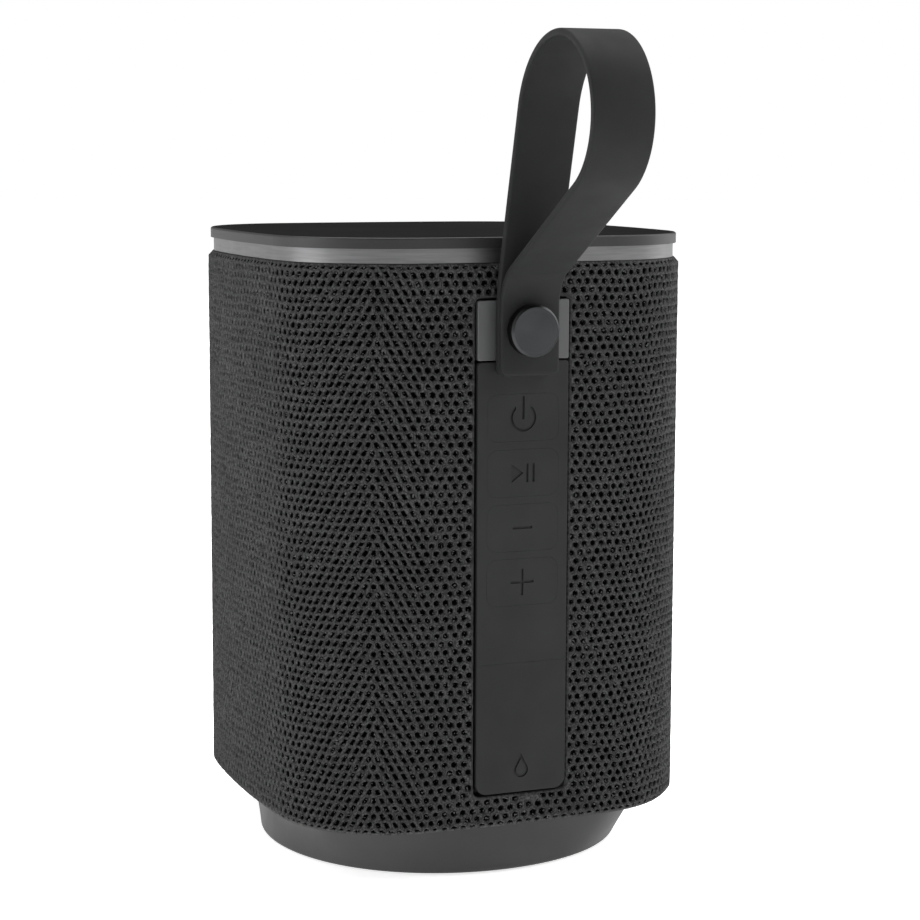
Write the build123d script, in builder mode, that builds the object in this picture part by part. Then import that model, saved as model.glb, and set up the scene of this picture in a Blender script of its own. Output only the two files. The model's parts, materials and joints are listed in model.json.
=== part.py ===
"""Portable shower speaker: fabric-covered body, tapered foot, control strip and carrying strap.

Millimetres. +Z is up and the origin is the middle of the foot's resting face. The control
strip looks along -Y, the driver and the passive radiator look along +Y.
"""

import os
from math import cos, radians, sin, sqrt

from build123d import *

# --- Body outline: a square with bowed sides and round corners ------------------------------
BODY_HALF = 45.7  # from the upright axis to the middle of a side, at the fabric's outer face
SIDE_BOW = 258.0  # radius of each bowed side
CORNER_RADIUS = 25.6

# --- Heights of the visible bands -----------------------------------------------------------
FOOT_TOP = 11.9
FABRIC_TOP = 126.9
RING_TOP = 129.8
LID_TOP = 132.0

# --- Fabric and the shell under it ----------------------------------------------------------
FABRIC_THICKNESS = 0.9
SHELL_INSET = 1.2
SHELL_THICKNESS = 2.0
SHELL_INNER = SHELL_INSET + SHELL_THICKNESS
SHELL_FLOOR = 13.0
SHELL_TOP = 126.6
FLOOR_THICKNESS = 1.4
HEM_WIDTH = 6.7
FOOT_INSET = 7.0  # the foot's upper outline, inset from the fabric
SHELL_LIP = 0.3  # how far the shell's opening stands back from the fabric's
FLOOR_STEP = 0.5  # how far the shell's floor runs into its wall
SLOT_PITCH = 5.5
SLOT_WIDTH = 3.6

# --- Foot -----------------------------------------------------------------------------------
FOOT_RADIUS = 39.1
FOOT_FLOOR = 0.5
FOOT_WALL = 2.2
PAD_RADIUS = 34.0
PAD_THICKNESS = 1.2
PAD_CHAMFER = 0.3
FOOT_EDGE = 0.8  # radius round the foot's resting face
FOOT_SCREW_SPACING = 40.0
FOOT_SCREW_SEAT = 3.6
FOOT_SCREW_LENGTH = 17.0
SCREW_COLUMN_RADIUS = 4.2

# --- Screws of the foot and of the sound chamber --------------------------------------------
SCREW_RADIUS = 1.5
SCREW_HOLE_RADIUS = 1.55
HEAD_RADIUS = 2.7
HEAD_HEIGHT = 1.8
CLEARANCE = 0.1  # between neighbouring pieces that don't touch

# --- Ring, top frame and lid ----------------------------------------------------------------
RING_INSET = 1.24
RING_WIDTH = 3.6
LID_INSET = 0.6
LID_EDGE = 0.4
LID_SKIRT_INSET = RING_INSET + RING_WIDTH + 0.4
LID_SKIRT_THICKNESS = 1.8
LID_SKIRT_BOTTOM = 125.0
TOP_FRAME_FLOOR = 122.5
TOP_FRAME_INSET = SHELL_INNER + 0.2
TOP_FRAME_THICKNESS = 1.6
TOP_FRAME_HOLE_INSET = 20.0

# --- Sound chamber --------------------------------------------------------------------------
CHAMBER_HALF_WIDTH = 38.0
CHAMBER_FRONT = 31.5  # distance of its control-side wall from the axis
CHAMBER_BACK = 36.5  # distance of its driver-side wall from the axis
CHAMBER_CORNER = 16.0
CHAMBER_WALL = 2.2
CHAMBER_FLOOR = 14.7
CHAMBER_TOP = 119.2
COLUMN_HEIGHT = 8.0
COLUMN_SINK = 0.5
COLUMN_HOLE_DEPTH = 7.0
SEAL_THICKNESS = 0.5
CAP_THICKNESS = 2.2
CAP_BOTTOM = CHAMBER_TOP + SEAL_THICKNESS
CAP_SPOT_X = 29.8
CAP_SPOT_Y = 25.8
CAP_SCREW_SEAT = CAP_BOTTOM + 1.0
CAP_SCREW_LENGTH = 7.0
CAP_HEAD_RADIUS = 2.6
CAP_HEAD_HEIGHT = 1.1
BOSS_RADIUS = 3.6
BOSS_LENGTH = 9.0

# --- Driver and passive radiator, both facing +Y --------------------------------------------
DRIVER_HEIGHT = 89.0
DRIVER_FLANGE = 27.5
DRIVER_HOLE = 24.6
FLANGE_SEAT = CHAMBER_BACK + CLEARANCE
FLANGE_THICKNESS = 1.2
FLANGE_TOP = FLANGE_SEAT + FLANGE_THICKNESS
MAGNET_BACK = 12.0
MAGNET_RADIUS = 16.0
MAGNET_FLOOR = 3.0
GAP_START = 24.0
BASKET_FOOT = 24.2
BASKET_FOOT_RADIUS = 15.0
BASKET_WALL = 0.9
COIL_RADIUS = 7.0
COIL_WALL = 0.4
COIL_START = 18.0
COIL_END = 29.0
CONE_EDGE = 18.4
CONE_BACK = 36.6
CONE_FRONT = 37.3
CONE_NECK = 29.05
DOME_RADIUS = 3.6
DOME_BACK = 32.0
DOME_THICKNESS = 0.8
ROLL_OUTER = 22.4
ROLL_CLEARANCE = 0.05
ROLL_THICKNESS = 0.6
GASKET_THICKNESS = 0.7
GASKET_EDGE = DRIVER_FLANGE - 2.0
RADIATOR_HEIGHT = 38.0
RADIATOR_FLANGE = 21.5
RADIATOR_HOLE = 18.6
RADIATOR_ROLL_OUTER = 17.6
RADIATOR_ROLL_SEAT = 36.9
RADIATOR_PLATE_RADIUS = 11.5
RADIATOR_PLATE_BACK = 35.6
RADIATOR_PLATE_FRONT = 38.0
RADIATOR_PLATE_CHAMFER = 0.4

# --- Battery --------------------------------------------------------------------------------
CELL_RADIUS = 9.2
CELL_LENGTH = 65.0
CELL_SPACING = 20.4
CELL_MIDDLE_Y = -18.4
TERMINAL_RADIUS = 2.6
TERMINAL_HEIGHT = 1.2
CRADLE_BOTTOM = CHAMBER_FLOOR + CHAMBER_WALL + 6.5
CRADLE_HEIGHT = 12.0
CRADLE_FLOOR = 1.8
CRADLE_WALL = 1.2
CRADLE_CORNER = 5.0
CELL_CLEARANCE = 0.15
CELL_BOTTOM = CRADLE_BOTTOM + CRADLE_FLOOR + CLEARANCE

# --- Control side: distances of each layer from the upright axis, towards -Y ----------------
PANEL_FACE = 45.9  # front of the strip, the keys, the flap and the strap plate
PANEL_BACK = 43.3
PLATFORM_FACE = 43.2  # raised part of the tray, which backs the strip
TRAY_FRONT = 42.0
TRAY_BACK = 40.2
KEY_BOARD_FRONT = 38.4
KEY_BOARD_BACK = 37.2
MAIN_BOARD_FRONT = 35.9
MAIN_BOARD_BACK = 34.7

STRIP_WIDTH = 19.8
STRIP_CORNER = 2.4
STRIP_TOP_CORNER = 0.8
PANEL_EDGE = 0.2  # radius along the front edges of the strip, the flap and the plate
PLATE_CORNER = 0.4
FLAP_BOTTOM = 19.1
FLAP_TOP = 46.0
SEAM = 0.03  # hairline between the strip, the keys and the flap
STRIP_TOP = 107.3
PLATE_BOTTOM = 107.6
PLATE_TOP = 119.5
OPENING_WIDTH = 20.4
OPENING_BOTTOM = 18.7
OPENING_TOP = 119.9
OPENING_CORNER = 1.2

KEY_WIDTH = 15.6
KEY_HEIGHT = 9.6
KEY_CORNER = 2.2
KEY_DEPTH = 1.8
KEY_HEIGHTS = {"key_power": 96.0, "key_play": 84.8, "key_minus": 73.7, "key_plus": 62.6}
POST_RADIUS = 1.5
POST_HOLE_RADIUS = 1.8
POST_END = 40.9
ENGRAVING = 0.3
STROKE = 0.5

RIB_DEPTH = 0.8  # how far the flap's plugs reach into the sockets
USB_PLUG = (7.4, 1.8, 0.8)
AUX_PLUG_RADIUS = 1.35
DROP_HEIGHT = 24.6

# --- Sockets --------------------------------------------------------------------------------
PORT_FACE = 43.0
USB_HEIGHT = 37.0
USB_WIDTH = 8.9
USB_THICKNESS = 3.3
USB_CORNER = 1.6
USB_WALL = 0.35
USB_DEPTH = 6.2
USB_TONGUE = (6.7, 0.7)
USB_TONGUE_RECESS = 1.2
AUX_HEIGHT = 27.0
AUX_BODY_RADIUS = 3.4
AUX_BORE_RADIUS = 1.75
AUX_DEPTH = 6.4

# --- Tray behind the controls, and the boards -----------------------------------------------
TRAY_WIDTH = 29.0
TRAY_BOTTOM = 15.0
TRAY_TOP = 121.6
TRAY_CORNER = 3.0
PLATFORM_WIDTH = 18.4
PLATFORM_BOTTOM = FLAP_BOTTOM + 1.0
PLATFORM_TOP = PLATE_TOP - 0.8
PLATFORM_CORNER = 1.6
TRAY_SCREW_RADIUS = 0.8
TRAY_HEAD_RADIUS = 1.6
TRAY_HEAD_HEIGHT = 1.0
TRAY_SCREW_LENGTH = 1.7
KEY_BOARD = (19.0, 54.0, 104.0, 1.0)  # width, bottom, top and corner radius
MAIN_BOARD = (44.0, 52.0, 110.0, 2.0)
PORT_BOARD = (22.0, 21.0, 47.0, 1.0)
SWITCH_SIDE = 4.2
SWITCH_CORNER = 0.4
SWITCH_HEIGHT = 1.5
SWITCH_TIP_RADIUS = 0.9
SWITCH_TIP_HEIGHT = 0.4
CHIP_HEIGHT = 2.0

# --- Strap, seen from the side: distances outward from the panel's face, and heights --------
STRAP_WIDTH = 12.6
STRAP_THICKNESS = 1.5
INNER_LAYER = 1.05
OUTER_LAYER = 2.65
STRAP_END = 104.6
STRAP_END_CORNER = 1.6
INNER_BEND_START = 118.0
INNER_BEND = 26.0
INNER_LEAN = 15.4  # degrees outward from upright
INNER_RISE = 33.7
CROWN_INNER = 18.0
CROWN_OUTER = 15.1
BELLY = 15.0
BELLY_TURN = 60.0
OUTER_BEND = 9.0

# --- Knob and its stud ----------------------------------------------------------------------
KNOB_HEIGHT = 113.7
KNOB_RADIUS = 5.15
KNOB_BACK = 49.5
KNOB_FACE = 52.0
KNOB_CHAMFER = 0.45
STUD_RADIUS = 2.0
STUD_HOLE_RADIUS = 2.08
STUD_END = 36.6
WASHER_RADIUS = 4.4
WASHER_THICKNESS = 0.6
NUT_RADIUS = 3.9
NUT_THICKNESS = 2.2

FRONT = Plane.XZ  # local x is +X, local y is +Z, and its normal is -Y
os.makedirs("parts", exist_ok=True)


def front_plane(distance):
    """Upright plane on the control side, its normal pointing out of the body."""
    return FRONT.offset(distance)


def eight_arcs(side_middle, joint, corner_middle):
    """Closed outline of four side arcs and four corner arcs, from points of the -Y side."""
    mirrored = Vector(-joint.X, joint.Y)
    with BuildSketch() as outline:
        with BuildLine():
            for turn in range(4):
                angle = 90 * turn
                side = [mirrored, side_middle, joint]
                next_joint = mirrored.rotate(Axis.Z, 90)
                corner = [joint, corner_middle, next_joint]
                ThreePointArc(*[point.rotate(Axis.Z, angle) for point in side])
                ThreePointArc(*[point.rotate(Axis.Z, angle) for point in corner])
        make_face()
    return outline.sketch


def outline_joint(inset):
    """Where the -Y side's arc meets the corner arc, and that corner's centre distance."""
    bow_shift = SIDE_BOW - BODY_HALF
    reach = SIDE_BOW - CORNER_RADIUS
    corner_centre = (sqrt(2 * reach**2 - bow_shift**2) - bow_shift) / 2
    scale = (SIDE_BOW - inset) / reach
    joint = Vector(scale * corner_centre, bow_shift - scale * (corner_centre + bow_shift))
    return joint, corner_centre


def body_outline(inset=0.0):
    """The body's bowed square, inset evenly from the fabric's outer face."""
    joint, corner_centre = outline_joint(inset)
    corner_reach = corner_centre + (CORNER_RADIUS - inset) / sqrt(2)
    return eight_arcs(Vector(0, inset - BODY_HALF), joint, Vector(corner_reach, -corner_reach))


def chamber_outline(inset=0.0):
    """The sound chamber's rounded rectangle, inset evenly."""
    middle = (CHAMBER_BACK - CHAMBER_FRONT) / 2
    depth = CHAMBER_BACK + CHAMBER_FRONT
    with BuildSketch() as outline:
        with Locations((0, middle)):
            RectangleRounded(
                2 * (CHAMBER_HALF_WIDTH - inset), depth - 2 * inset, CHAMBER_CORNER - inset
            )
    return outline.sketch


def section(points):
    """Closed straight-sided section, for a turned piece: (distance along the axis, radius)."""
    with BuildSketch() as outline:
        with BuildLine():
            Polyline(points, close=True)
        make_face()
    return outline.sketch


def roll_section(inner, outer, seat):
    """Half-round rubber roll between two radii, with its edges standing on the seat."""
    middle = (inner + outer) / 2
    reach = (outer - inner) / 2
    with BuildSketch() as outline:
        with Locations((seat, middle)):
            Circle(reach)
            Circle(reach - ROLL_THICKNESS, mode=Mode.SUBTRACT)
            Rectangle(
                2 * reach, 2 * outer, align=(Align.MAX, Align.CENTER), mode=Mode.SUBTRACT
            )
    return outline.sketch


def bar(width, bottom, top, corner):
    """Upright rounded rectangle between two heights."""
    with BuildSketch() as outline:
        with Locations((0, (bottom + top) / 2)):
            RectangleRounded(width, top - bottom, corner)
    return outline.sketch


def screw_group(seat, spots, head_radius, head_height, shank_radius, shank_length):
    """Screws whose heads stand on the seat's positive side and whose shanks go the other way."""
    with BuildPart() as screws:
        with BuildSketch(seat):
            with Locations(*spots):
                Circle(head_radius)
        extrude(amount=head_height)
        with BuildSketch(seat):
            with Locations(*spots):
                Circle(shank_radius)
        extrude(amount=-shank_length)
    return screws.part


def save(piece, name):
    """Label a finished piece and write its file."""
    piece.part.label = name
    export_step(piece.part, f"parts/{name}.step")


def four_spots(half_x, half_y, middle_y=0.0):
    """The corners of a rectangle."""
    return [
        (side * half_x, middle_y + end * half_y) for side in (-1, 1) for end in (-1, 1)
    ]


# --- Foot -----------------------------------------------------------------------------------
foot_spots = four_spots(FOOT_SCREW_SPACING / 2, FOOT_SCREW_SPACING / 2)

with BuildPart() as base_shell:
    with BuildSketch(Plane.XY.offset(FOOT_FLOOR)):
        Circle(FOOT_RADIUS)
    with BuildSketch(Plane.XY.offset(FOOT_TOP)):
        add(body_outline(FOOT_INSET))
    loft()
    fillet(base_shell.faces().sort_by(Axis.Z)[0].edges(), radius=FOOT_EDGE)
    with BuildSketch(Plane.XY.offset(FOOT_FLOOR + FOOT_WALL)):
        Circle(FOOT_RADIUS - FOOT_WALL)
    with BuildSketch(Plane.XY.offset(FOOT_TOP)):
        add(body_outline(FOOT_INSET + FOOT_WALL))
    loft(mode=Mode.SUBTRACT)
    with BuildSketch(Plane.XY.offset(FOOT_TOP)):
        add(body_outline(FOOT_INSET))
        add(body_outline(FOOT_INSET + FOOT_WALL), mode=Mode.SUBTRACT)
    extrude(amount=SHELL_FLOOR - FOOT_TOP - CLEARANCE)
    with BuildSketch(Plane.XY.offset(FOOT_FLOOR + FOOT_WALL)):
        with Locations(*foot_spots):
            Circle(SCREW_COLUMN_RADIUS)
    extrude(amount=CHAMBER_FLOOR - CLEARANCE - FOOT_FLOOR - FOOT_WALL)
    with BuildSketch(Plane.XY.offset(FOOT_FLOOR)):
        Circle(PAD_RADIUS + CLEARANCE)
    extrude(amount=PAD_THICKNESS - FOOT_FLOOR, mode=Mode.SUBTRACT)
    with BuildSketch(Plane.XY.offset(PAD_THICKNESS)):
        with Locations(*foot_spots):
            Circle(HEAD_RADIUS + CLEARANCE)
    extrude(amount=FOOT_SCREW_SEAT - PAD_THICKNESS, mode=Mode.SUBTRACT)
    with BuildSketch(Plane.XY.offset(FOOT_SCREW_SEAT)):
        with Locations(*foot_spots):
            Circle(SCREW_HOLE_RADIUS)
    extrude(amount=CHAMBER_FLOOR, mode=Mode.SUBTRACT)
save(base_shell, "base_shell")

with BuildPart() as foot_pad:
    with BuildSketch():
        Circle(PAD_RADIUS)
    extrude(amount=PAD_THICKNESS)
    chamfer(foot_pad.edges().group_by(Axis.Z)[0], length=PAD_CHAMFER)
save(foot_pad, "foot_pad")

with BuildPart() as base_screws:
    head_face = Plane(origin=(0, 0, FOOT_SCREW_SEAT), z_dir=(0, 0, -1))
    add(
        screw_group(
            head_face, foot_spots, HEAD_RADIUS, HEAD_HEIGHT, SCREW_RADIUS, FOOT_SCREW_LENGTH
        )
    )
save(base_screws, "base_screws")

# --- Fabric sleeve and the slotted shell under it -------------------------------------------
with BuildPart() as fabric_sleeve:
    with BuildSketch(Plane.XY.offset(FOOT_TOP)):
        add(body_outline())
        add(body_outline(FABRIC_THICKNESS), mode=Mode.SUBTRACT)
    extrude(amount=FABRIC_TOP - FOOT_TOP)
    with BuildSketch(Plane.XY.offset(FOOT_TOP)):
        add(body_outline(FABRIC_THICKNESS))
        add(body_outline(HEM_WIDTH), mode=Mode.SUBTRACT)
    extrude(amount=FABRIC_THICKNESS)
    with BuildSketch(front_plane(BODY_HALF / 2)):
        add(bar(OPENING_WIDTH, OPENING_BOTTOM, OPENING_TOP, OPENING_CORNER))
    extrude(amount=BODY_HALF, mode=Mode.SUBTRACT)
save(fabric_sleeve, "fabric_sleeve")

with BuildPart() as grille_shell:
    with BuildSketch(Plane.XY.offset(SHELL_FLOOR)):
        add(body_outline(SHELL_INSET))
        add(body_outline(SHELL_INNER), mode=Mode.SUBTRACT)
    extrude(amount=SHELL_TOP - SHELL_FLOOR)
    with BuildSketch(Plane.XY.offset(SHELL_FLOOR)):
        add(body_outline(SHELL_INNER - FLOOR_STEP))
        add(body_outline(FOOT_INSET + FOOT_WALL), mode=Mode.SUBTRACT)
    extrude(amount=FLOOR_THICKNESS)
    with BuildSketch(front_plane(BODY_HALF / 2)):
        add(
            bar(
                OPENING_WIDTH + 2 * SHELL_LIP,
                OPENING_BOTTOM - SHELL_LIP,
                OPENING_TOP + SHELL_LIP,
                OPENING_CORNER,
            )
        )
    extrude(amount=BODY_HALF, mode=Mode.SUBTRACT)
    for height, radius in ((DRIVER_HEIGHT, DRIVER_HOLE), (RADIATOR_HEIGHT, RADIATOR_HOLE)):
        slots_per_side = int(radius // SLOT_PITCH)
        with BuildSketch(Plane(origin=(0, BODY_HALF / 2, 0), x_dir=(1, 0, 0), z_dir=(0, 1, 0))):
            for slot in range(-slots_per_side, slots_per_side + 1):
                across = slot * SLOT_PITCH
                half_length = sqrt(radius**2 - across**2)
                with Locations((across, -height)):
                    SlotOverall(2 * half_length, SLOT_WIDTH, rotation=90)
        extrude(amount=BODY_HALF, mode=Mode.SUBTRACT)
save(grille_shell, "grille_shell")

# --- Trim ring, top frame, seal and lid -----------------------------------------------------
with BuildPart() as trim_ring:
    with BuildSketch(Plane.XY.offset(FABRIC_TOP)):
        add(body_outline(RING_INSET))
        add(body_outline(RING_INSET + RING_WIDTH), mode=Mode.SUBTRACT)
    extrude(amount=RING_TOP - FABRIC_TOP)
save(trim_ring, "trim_ring")

with BuildPart() as top_frame:
    with BuildSketch(Plane.XY.offset(TOP_FRAME_FLOOR)):
        add(body_outline(TOP_FRAME_INSET))
        add(body_outline(TOP_FRAME_HOLE_INSET), mode=Mode.SUBTRACT)
    extrude(amount=TOP_FRAME_THICKNESS)
    with BuildSketch(Plane.XY.offset(TOP_FRAME_FLOOR)):
        add(body_outline(TOP_FRAME_INSET))
        add(body_outline(LID_SKIRT_INSET - 2 * CLEARANCE), mode=Mode.SUBTRACT)
    extrude(amount=SHELL_TOP - TOP_FRAME_FLOOR)
save(top_frame, "top_frame")

with BuildPart() as lid:
    with BuildSketch(Plane.XY.offset(RING_TOP)):
        add(body_outline(LID_INSET))
    extrude(amount=LID_TOP - RING_TOP)
    fillet(lid.faces().sort_by(Axis.Z)[-1].edges(), radius=LID_EDGE)
    with BuildSketch(Plane.XY.offset(LID_SKIRT_BOTTOM)):
        add(body_outline(LID_SKIRT_INSET))
        add(body_outline(LID_SKIRT_INSET + LID_SKIRT_THICKNESS), mode=Mode.SUBTRACT)
    extrude(amount=RING_TOP - LID_SKIRT_BOTTOM)
save(lid, "lid")

with BuildPart() as lid_seal:
    with BuildSketch(Plane.XY.offset(TOP_FRAME_FLOOR + TOP_FRAME_THICKNESS)):
        add(body_outline(LID_SKIRT_INSET))
        add(body_outline(LID_SKIRT_INSET + LID_SKIRT_THICKNESS), mode=Mode.SUBTRACT)
    extrude(amount=LID_SKIRT_BOTTOM - TOP_FRAME_FLOOR - TOP_FRAME_THICKNESS)
save(lid_seal, "lid_seal")

# --- Sound chamber --------------------------------------------------------------------------
chamber_middle = (CHAMBER_BACK - CHAMBER_FRONT) / 2
cap_spots = four_spots(CAP_SPOT_X, CAP_SPOT_Y, chamber_middle)

with BuildPart() as enclosure:
    with BuildSketch(Plane.XY.offset(CHAMBER_FLOOR)):
        add(chamber_outline())
    extrude(amount=CHAMBER_TOP - CHAMBER_FLOOR)
    with BuildSketch(Plane.XY.offset(CHAMBER_FLOOR + CHAMBER_WALL)):
        add(chamber_outline(CHAMBER_WALL))
    extrude(amount=CHAMBER_TOP - CHAMBER_FLOOR, mode=Mode.SUBTRACT)
    with BuildSketch(Plane.XY.offset(CHAMBER_FLOOR + COLUMN_SINK)):
        with Locations(*foot_spots):
            Circle(SCREW_COLUMN_RADIUS)
    extrude(amount=COLUMN_HEIGHT)
    with BuildSketch(Plane.XY.offset(CHAMBER_TOP)):
        with Locations(*cap_spots):
            Circle(BOSS_RADIUS)
    extrude(amount=-BOSS_LENGTH)
    for height, radius in ((DRIVER_HEIGHT, DRIVER_HOLE), (RADIATOR_HEIGHT, RADIATOR_HOLE)):
        with BuildSketch(Plane.XZ.offset(-CHAMBER_BACK)):
            with Locations((0, height)):
                Circle(radius)
        extrude(amount=4 * CHAMBER_WALL, mode=Mode.SUBTRACT)
    with BuildSketch(Plane.XY.offset(CHAMBER_FLOOR)):
        with Locations(*foot_spots):
            Circle(SCREW_HOLE_RADIUS)
    extrude(amount=COLUMN_HOLE_DEPTH, mode=Mode.SUBTRACT)
    with BuildSketch(Plane.XY.offset(CHAMBER_TOP)):
        with Locations(*cap_spots):
            Circle(SCREW_HOLE_RADIUS)
    extrude(amount=-COLUMN_HOLE_DEPTH, mode=Mode.SUBTRACT)
save(enclosure, "enclosure")

with BuildPart() as enclosure_seal:
    with BuildSketch(Plane.XY.offset(CHAMBER_TOP)):
        add(chamber_outline())
        add(chamber_outline(CHAMBER_WALL), mode=Mode.SUBTRACT)
    extrude(amount=SEAL_THICKNESS)
save(enclosure_seal, "enclosure_seal")

with BuildPart() as enclosure_cap:
    with BuildSketch(Plane.XY.offset(CAP_BOTTOM)):
        add(chamber_outline())
        with Locations(*cap_spots):
            Circle(SCREW_HOLE_RADIUS, mode=Mode.SUBTRACT)
    extrude(amount=CAP_THICKNESS)
    with BuildSketch(Plane.XY.offset(CAP_SCREW_SEAT)):
        with Locations(*cap_spots):
            Circle(CAP_HEAD_RADIUS + CLEARANCE)
    extrude(amount=CAP_THICKNESS, mode=Mode.SUBTRACT)
save(enclosure_cap, "enclosure_cap")

with BuildPart() as cap_screws:
    cap_seat = Plane.XY.offset(CAP_SCREW_SEAT)
    add(
        screw_group(
            cap_seat, cap_spots, CAP_HEAD_RADIUS, CAP_HEAD_HEIGHT, SCREW_RADIUS, CAP_SCREW_LENGTH
        )
    )
save(cap_screws, "cap_screws")

# --- Driver: sections run along +Y from the axis --------------------------------------------
DRIVER_SIDE = Plane(origin=(0, 0, DRIVER_HEIGHT), x_dir=(0, 1, 0), z_dir=(1, 0, 0))
DRIVER_AXIS = Axis((0, 0, DRIVER_HEIGHT), (0, 1, 0))
RADIATOR_SIDE = Plane(origin=(0, 0, RADIATOR_HEIGHT), x_dir=(0, 1, 0), z_dir=(1, 0, 0))
RADIATOR_AXIS = Axis((0, 0, RADIATOR_HEIGHT), (0, 1, 0))

with BuildPart() as driver_basket:
    with BuildSketch(DRIVER_SIDE):
        add(
            section(
                [
                    (FLANGE_TOP, DRIVER_FLANGE),
                    (FLANGE_SEAT, DRIVER_FLANGE),
                    (FLANGE_SEAT, DRIVER_HOLE - 0.3),
                    (BASKET_FOOT, BASKET_FOOT_RADIUS + BASKET_WALL),
                    (BASKET_FOOT, COIL_RADIUS + 1.5),
                    (BASKET_FOOT + BASKET_WALL, COIL_RADIUS + 1.5),
                    (BASKET_FOOT + BASKET_WALL, BASKET_FOOT_RADIUS - 0.2),
                    (FLANGE_TOP, DRIVER_HOLE - 0.6),
                ]
            )
        )
    revolve(axis=DRIVER_AXIS)
save(driver_basket, "driver_basket")

with BuildPart() as driver_magnet:
    with BuildSketch(DRIVER_SIDE):
        add(
            section(
                [
                    (MAGNET_BACK, 0),
                    (MAGNET_BACK, MAGNET_RADIUS),
                    (GAP_START, MAGNET_RADIUS),
                    (GAP_START, COIL_RADIUS + 0.6),
                    (MAGNET_BACK + MAGNET_FLOOR, COIL_RADIUS + 0.6),
                    (MAGNET_BACK + MAGNET_FLOOR, COIL_RADIUS - 1.0),
                    (GAP_START, COIL_RADIUS - 1.0),
                    (GAP_START, 0),
                ]
            )
        )
    revolve(axis=DRIVER_AXIS)
save(driver_magnet, "driver_magnet")

with BuildPart() as voice_coil:
    with BuildSketch(DRIVER_SIDE):
        add(
            section(
                [
                    (COIL_START, COIL_RADIUS - COIL_WALL),
                    (COIL_START, COIL_RADIUS),
                    (COIL_END, COIL_RADIUS),
                    (COIL_END, COIL_RADIUS - COIL_WALL),
                ]
            )
        )
    revolve(axis=DRIVER_AXIS)
save(voice_coil, "voice_coil")

with BuildPart() as driver_cone:
    with BuildSketch(DRIVER_SIDE):
        add(
            section(
                [
                    (DOME_BACK, 0),
                    (DOME_BACK - 0.6, DOME_RADIUS),
                    (CONE_NECK, COIL_RADIUS - 0.6),
                    (CONE_NECK, COIL_RADIUS),
                    (CONE_BACK, CONE_EDGE),
                    (CONE_FRONT, CONE_EDGE),
                    (CONE_NECK + 1.5, COIL_RADIUS),
                    (DOME_BACK - 0.6 + DOME_THICKNESS, DOME_RADIUS),
                    (DOME_BACK + DOME_THICKNESS, 0),
                ]
            )
        )
    revolve(axis=DRIVER_AXIS)
save(driver_cone, "driver_cone")

with BuildPart() as driver_surround:
    with BuildSketch(DRIVER_SIDE):
        add(roll_section(CONE_EDGE + ROLL_CLEARANCE, ROLL_OUTER, CONE_FRONT))
    revolve(axis=DRIVER_AXIS)
save(driver_surround, "driver_surround")

with BuildPart() as driver_gasket:
    with BuildSketch(DRIVER_SIDE):
        add(
            section(
                [
                    (FLANGE_TOP, ROLL_OUTER + 0.5),
                    (FLANGE_TOP, GASKET_EDGE),
                    (FLANGE_TOP + GASKET_THICKNESS, GASKET_EDGE),
                    (FLANGE_TOP + GASKET_THICKNESS, ROLL_OUTER + 0.5),
                ]
            )
        )
    revolve(axis=DRIVER_AXIS)
save(driver_gasket, "driver_gasket")

# --- Passive radiator -----------------------------------------------------------------------
with BuildPart() as radiator_frame:
    with BuildSketch(RADIATOR_SIDE):
        add(
            section(
                [
                    (FLANGE_SEAT, RADIATOR_ROLL_OUTER + 0.4),
                    (FLANGE_SEAT, RADIATOR_FLANGE),
                    (FLANGE_TOP, RADIATOR_FLANGE),
                    (FLANGE_TOP, RADIATOR_ROLL_OUTER + 0.4),
                ]
            )
        )
    revolve(axis=RADIATOR_AXIS)
save(radiator_frame, "radiator_frame")

with BuildPart() as radiator_surround:
    with BuildSketch(RADIATOR_SIDE):
        roll_inner = RADIATOR_PLATE_RADIUS + ROLL_CLEARANCE
        add(roll_section(roll_inner, RADIATOR_ROLL_OUTER, RADIATOR_ROLL_SEAT))
    revolve(axis=RADIATOR_AXIS)
save(radiator_surround, "radiator_surround")

with BuildPart() as radiator_plate:
    with BuildSketch(RADIATOR_SIDE):
        add(
            section(
                [
                    (RADIATOR_PLATE_BACK, 0),
                    (RADIATOR_PLATE_BACK, RADIATOR_PLATE_RADIUS),
                    (RADIATOR_PLATE_FRONT, RADIATOR_PLATE_RADIUS),
                    (RADIATOR_PLATE_FRONT, 0),
                ]
            )
        )
    revolve(axis=RADIATOR_AXIS)
    plate_front = radiator_plate.faces().sort_by(Axis.Y)[-1]
    chamfer(plate_front.edges(), length=RADIATOR_PLATE_CHAMFER)
save(radiator_plate, "radiator_plate")

# --- Battery: two round cells in a cradle on the chamber's floor ----------------------------
with BuildPart() as battery_cradle:
    with BuildSketch(Plane.XY.offset(CRADLE_BOTTOM)):
        with Locations((0, CELL_MIDDLE_Y)):
            RectangleRounded(
                2 * (CELL_SPACING + CRADLE_WALL), 2 * (CELL_RADIUS + CRADLE_WALL), CRADLE_CORNER
            )
    extrude(amount=CRADLE_HEIGHT)
    with BuildSketch(Plane.XY.offset(CRADLE_BOTTOM + CRADLE_FLOOR)):
        with Locations((-CELL_SPACING / 2, CELL_MIDDLE_Y), (CELL_SPACING / 2, CELL_MIDDLE_Y)):
            Circle(CELL_RADIUS + CELL_CLEARANCE)
    extrude(amount=CRADLE_HEIGHT, mode=Mode.SUBTRACT)
save(battery_cradle, "battery_cradle")

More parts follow.
